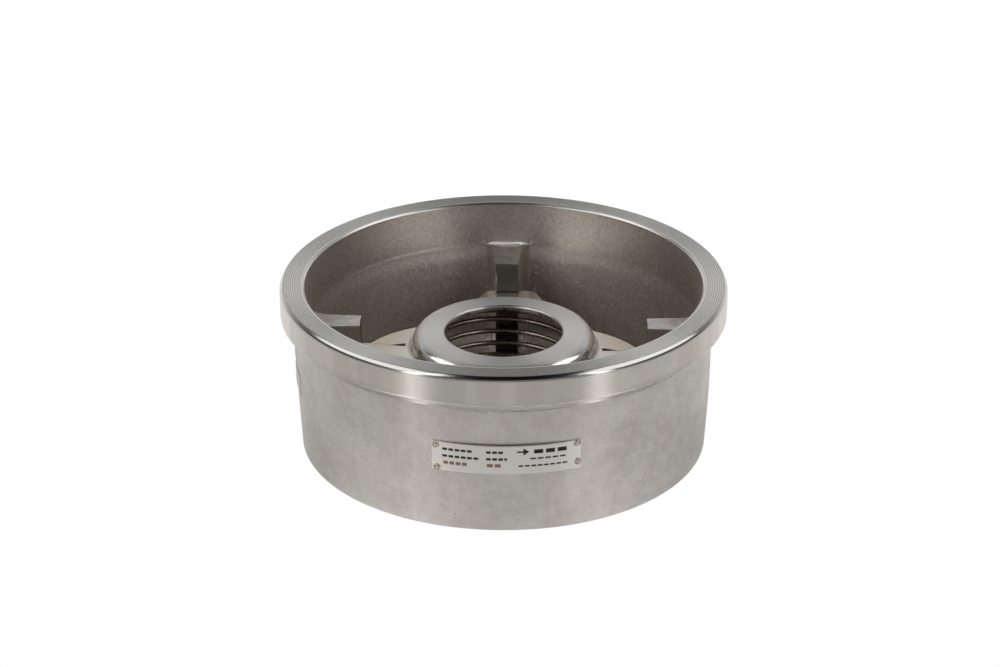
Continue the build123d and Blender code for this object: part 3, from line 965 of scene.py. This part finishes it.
def blocks(u, z, left, right, low, tall, pitch):
    """A row of equal blocks."""
    share = ((u - left) / pitch) % 1.0
    block = smoothstep(0.0, BLOCK_SOFT, share) * smoothstep(BLOCK_SHARE + BLOCK_SOFT, BLOCK_SHARE, share)
    return box_ink(u, z, left, right, low, low + tall) * block


def engraving(u, z):
    """Plain rows of blocks in three columns, and a flow arrow; z is measured from the plate's foot."""
    tip_u, tip_z = PLATE_ARROW_TIP
    shaft = box_ink(u, z, *PLATE_ARROW_SHAFT)
    slopes = (tip_u - u) * PLATE_ARROW_SLOPE - np.abs(z - tip_z)
    head = soft_ink(np.minimum(slopes, u - PLATE_ARROW_NECK))
    black = np.max([shaft, head] + [blocks(u, z, *row) for row in BLACK_ROWS], axis=0)
    brown = np.max([blocks(u, z, *row) for row in BROWN_ROWS], axis=0)
    return black, brown


def rivet_stains(u, z):
    """Ragged stains round the four rivets."""
    stain = np.zeros_like(u)
    size, depth = STAIN_RAGGED
    ragged = depth * fractal(np.c_[u, z, 0 * u], size, 2)
    for place in RIVET_PLACES:
        gap = np.hypot(u - place[0], z + PLATE_LOW - place[1])
        stain = np.maximum(stain, smoothstep(STAIN_OUTER, STAIN_INNER, gap + ragged))
    return stain


def plate_bow():
    """Radius of the bowed plate's back and the offset of its axis from the valve's."""
    half_angle = PLATE_HALF_ARC / PLATE_SEAT_R
    half_chord = PLATE_SEAT_R * sin(half_angle)
    rise = PLATE_SEAT_R + PLATE_STAND_OFF - PLATE_SEAT_R * cos(half_angle)
    radius = (half_chord**2 + rise**2) / (2 * rise)
    return radius, PLATE_SEAT_R + PLATE_STAND_OFF - radius


def nameplate():
    """The bowed plate as a fine grid, with its marks cut in and small stains round the rivets."""
    radius, offset = plate_bow()
    height = PLATE_HIGH - PLATE_LOW
    across = np.linspace(-PLATE_HALF_ARC, PLATE_HALF_ARC, PLATE_COLUMNS)
    up = np.linspace(0, height, PLATE_ROWS)
    u, z = (grid.ravel() for grid in np.meshgrid(across, up))
    black, brown = engraving(u, z)
    edge = np.minimum(np.minimum(u + PLATE_HALF_ARC, PLATE_HALF_ARC - u), np.minimum(z, height - z))
    soft = PLATE_EDGE_DROP * (1 - smoothstep(0, PLATE_EDGE_REACH, edge))
    front = PLATE_THICK - soft - ENGRAVED * np.maximum(black, brown)
    angle = u / radius
    points = []
    for depth in (front, 0 * front):
        r = radius + depth
        points.append(np.c_[offset + r * np.cos(angle), r * np.sin(angle), z + PLATE_LOW])
    points = np.vstack(points)
    turn = radians(PLATE_AZIMUTH)
    x, y = points[:, 0].copy(), points[:, 1].copy()
    points[:, 0] = x * cos(turn) - y * sin(turn)
    points[:, 1] = x * sin(turn) + y * cos(turn)
    piece = mesh_object("nameplate_engraved", points, grid_faces(len(across), len(up)), sharp=50.0)
    store(piece, "ink", np.r_[black, black])
    store(piece, "stamp", np.r_[brown, brown])
    store(piece, "stain", np.r_[rivet_stains(u, z), 0 * u])
    return piece


def grid_faces(wide, tall):
    """Front and back sheets of a plate and the band that joins them."""
    count = wide * tall
    faces = []
    for j in range(tall - 1):
        for i in range(wide - 1):
            a = j * wide + i
            faces.append((a, a + 1, a + wide + 1, a + wide))
            b = a + count
            faces.append((b, b + wide, b + wide + 1, b + 1))
    rim = list(range(wide))
    rim += [j * wide + wide - 1 for j in range(1, tall)]
    rim += [(tall - 1) * wide + i for i in range(wide - 2, -1, -1)]
    rim += [j * wide for j in range(tall - 2, 0, -1)]
    for k, a in enumerate(rim):
        b = rim[(k + 1) % len(rim)]
        faces.append((b, a, a + count, b + count))
    return faces


# ---------------------------------------------------------------- studio
def camera():
    data = bpy.data.cameras.new("camera")
    data.lens = LENS
    data.sensor_width = SENSOR
    view = bpy.data.objects.new("camera", data)
    bpy.context.scene.collection.objects.link(view)
    e, t = radians(CAMERA_ELEVATION), radians(CAMERA_TURN)
    place = Vector((CAMERA_SIDE, -CAMERA_DISTANCE * cos(e), CAMERA_AIM_Z + CAMERA_DISTANCE * sin(e))) * MM
    view.location = Matrix.Rotation(t, 3, "Z") @ place
    view.rotation_euler = (pi / 2 - e, 0, t)
    bpy.context.scene.camera = view


def direction(azimuth, elevation):
    a, e = radians(azimuth), radians(elevation)
    return Vector((cos(a) * cos(e), sin(a) * cos(e), sin(e)))


def area_light(name, toward, place, width, height, brightness):
    """A rectangular light that faces the valve, sizes in metres.

    Brightness is what a mirror would show: the renderer spreads the energy over four times the area.
    """
    data = bpy.data.lights.new(name, "AREA")
    data.shape = "RECTANGLE"
    data.size = width
    data.size_y = height
    data.energy = brightness * 4 * width * height
    lamp = bpy.data.objects.new(name, data)
    bpy.context.scene.collection.objects.link(lamp)
    lamp.location = place
    lamp.rotation_euler = toward.to_track_quat("Z", "Y").to_euler()


def panel(name, azimuth, elevation, distance, width, height, brightness):
    """A softbox aimed at the middle of the valve's rim."""
    toward = direction(azimuth, elevation)
    place = toward * distance + Vector((0, 0, PANEL_AIM_Z * MM))
    area_light(name, toward, place, width, height, brightness)


def strip(name, azimuth, distance, width, height, brightness):
    """A tall strip light that stands on the floor."""
    toward = direction(azimuth, 0)
    place = toward * distance + Vector((0, 0, height / 2))
    area_light(name, toward, place, width, height, brightness)


def backdrop():
    """World light: a pale horizon behind the valve that fades upwards into a dark room."""
    world = bpy.data.worlds.new("studio")
    bpy.context.scene.world = world
    n = Nodes(world)
    ahead, rise = n.split(n.add("ShaderNodeTexCoord").outputs["Generated"])[1:]
    near_side = n.blend(n.step(ahead, -0.3, -0.95), 0.03, 0.28)
    low_down = n.blend(n.step(rise, 0.7, 0.35), 0.03, 1.0)
    fill = n.math("MULTIPLY", near_side, low_down)
    room = n.mix(n.step(ahead, 0.25, 0.9), fill, horizon_glow(n, rise))
    seen = n.add("ShaderNodeLightPath").outputs["Is Camera Ray"]
    background = n.add("ShaderNodeBackground")
    n.plug(background.inputs["Color"], n.mix(seen, room, (1.0, 1.0, 1.0)))
    n.tree.links.new(background.outputs[0], n.out.inputs["Surface"])


def horizon_glow(n, rise):
    """Brightness of the wall behind the valve, from the horizon up to the ceiling."""
    ramp = n.add("ShaderNodeValToRGB")
    ramp.color_ramp.interpolation = "EASE"
    stops = ramp.color_ramp.elements
    stops[0].position, stops[0].color = 0.14, (1.0, 1.0, 1.0, 1)
    stops[1].position, stops[1].color = 0.95, (0.01, 0.01, 0.011, 1)
    for place, level in ((0.34, 0.64), (0.45, 0.60), (0.62, 0.48)):
        stops.new(place).color = (level, level, level * 0.99, 1)
    n.plug(ramp.inputs[0], rise)
    return ramp.outputs[0]


def floor_glow(n):
    """Brightness of the floor in reflections: less in front and at the sides, with a painted contact
    shadow close to the valve.
    """
    x, y, z = n.split(n.position())
    aside = n.math("ABSOLUTE", x)
    glow = n.math("ADD", n.math("MULTIPLY", n.step(y, -0.15, 0.16), 0.42), 0.53)
    glow = n.math("SUBTRACT", glow, n.math("MULTIPLY", n.step(aside, 0.045, 0.105), 0.13))
    # painted contact shadow on the floor near the valve's foot
    near = n.math("MULTIPLY", n.step(n.radius(), 0.11, 0.08), n.step(aside, 0.03, 0.055))
    return n.math("SUBTRACT", glow, n.math("MULTIPLY", near, 0.16))


def floor():
    """A plain white floor: pure white to the camera, softly graded in reflections."""
    half = FLOOR_HALF
    corners = np.array([(-half, -half, 0), (half, -half, 0), (half, half, 0), (-half, half, 0)])
    ground = mesh_object("floor", corners - (0, 0, FLOOR_DROP), [(0, 1, 2, 3)], smooth=False)
    n = material_nodes("floor_white")
    graded = n.add("ShaderNodeEmission", Strength=floor_glow(n))
    sheen = n.add("ShaderNodeBsdfGlossy", Color=(FLOOR_SHEEN,) * 3, Roughness=0.12)
    seen = n.add("ShaderNodeEmission", Strength=1.0)
    both = n.add("ShaderNodeAddShader")
    n.tree.links.new(graded.outputs[0], both.inputs[0])
    n.tree.links.new(sheen.outputs[0], both.inputs[1])
    choice = n.add("ShaderNodeMixShader")
    n.plug(choice.inputs[0], n.add("ShaderNodeLightPath").outputs["Is Camera Ray"])
    n.tree.links.new(both.outputs[0], choice.inputs[1])
    n.tree.links.new(seen.outputs[0], choice.inputs[2])
    n.tree.links.new(choice.outputs[0], n.out.inputs["Surface"])
    ground.data.materials.append(n.owner)


def studio():
    """White sweep with a softbox high on each side and a tall strip light on each side in front."""
    bpy.context.scene.view_settings.view_transform = "Standard"
    backdrop()
    floor()
    panel("softbox_left", 190, 43, distance=1.3, width=1.28, height=0.75, brightness=1.25)
    panel("softbox_right", -3, 42, distance=1.3, width=1.20, height=0.75, brightness=1.3)
    strip("strip_left", 227.5, distance=1.2, width=0.17, height=2.1, brightness=2.3)
    strip("strip_right", 318.5, distance=1.2, width=0.17, height=1.3, brightness=2.4)


# ---------------------------------------------------------------- build
def dress(node, material):
    """Gives a CAD node its material."""
    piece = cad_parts[node]
    piece.data.materials.clear()
    piece.data.materials.append(material)


def stand_in(piece, node, material):
    """Puts a piece on the housing in place of a CAD node, with the material in the piece's own slot."""
    piece.data.materials.append(material)
    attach(piece, "housing")
    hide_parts(node)


stand_in(casting(), "valve_body", casting_material())

spring_piece = coil()
stand_in(spring_piece, "spring", wire_material())
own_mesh(spring_piece)

dress("spring_retainer", retainer_material())
dress("valve_disc", disc_material())
stand_in(nameplate(), "nameplate", plate_material())
rivets = rivet_material()
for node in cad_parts:
    if node.startswith("nameplate_rivet"):
        dress(node, rivets)

camera()
studio()
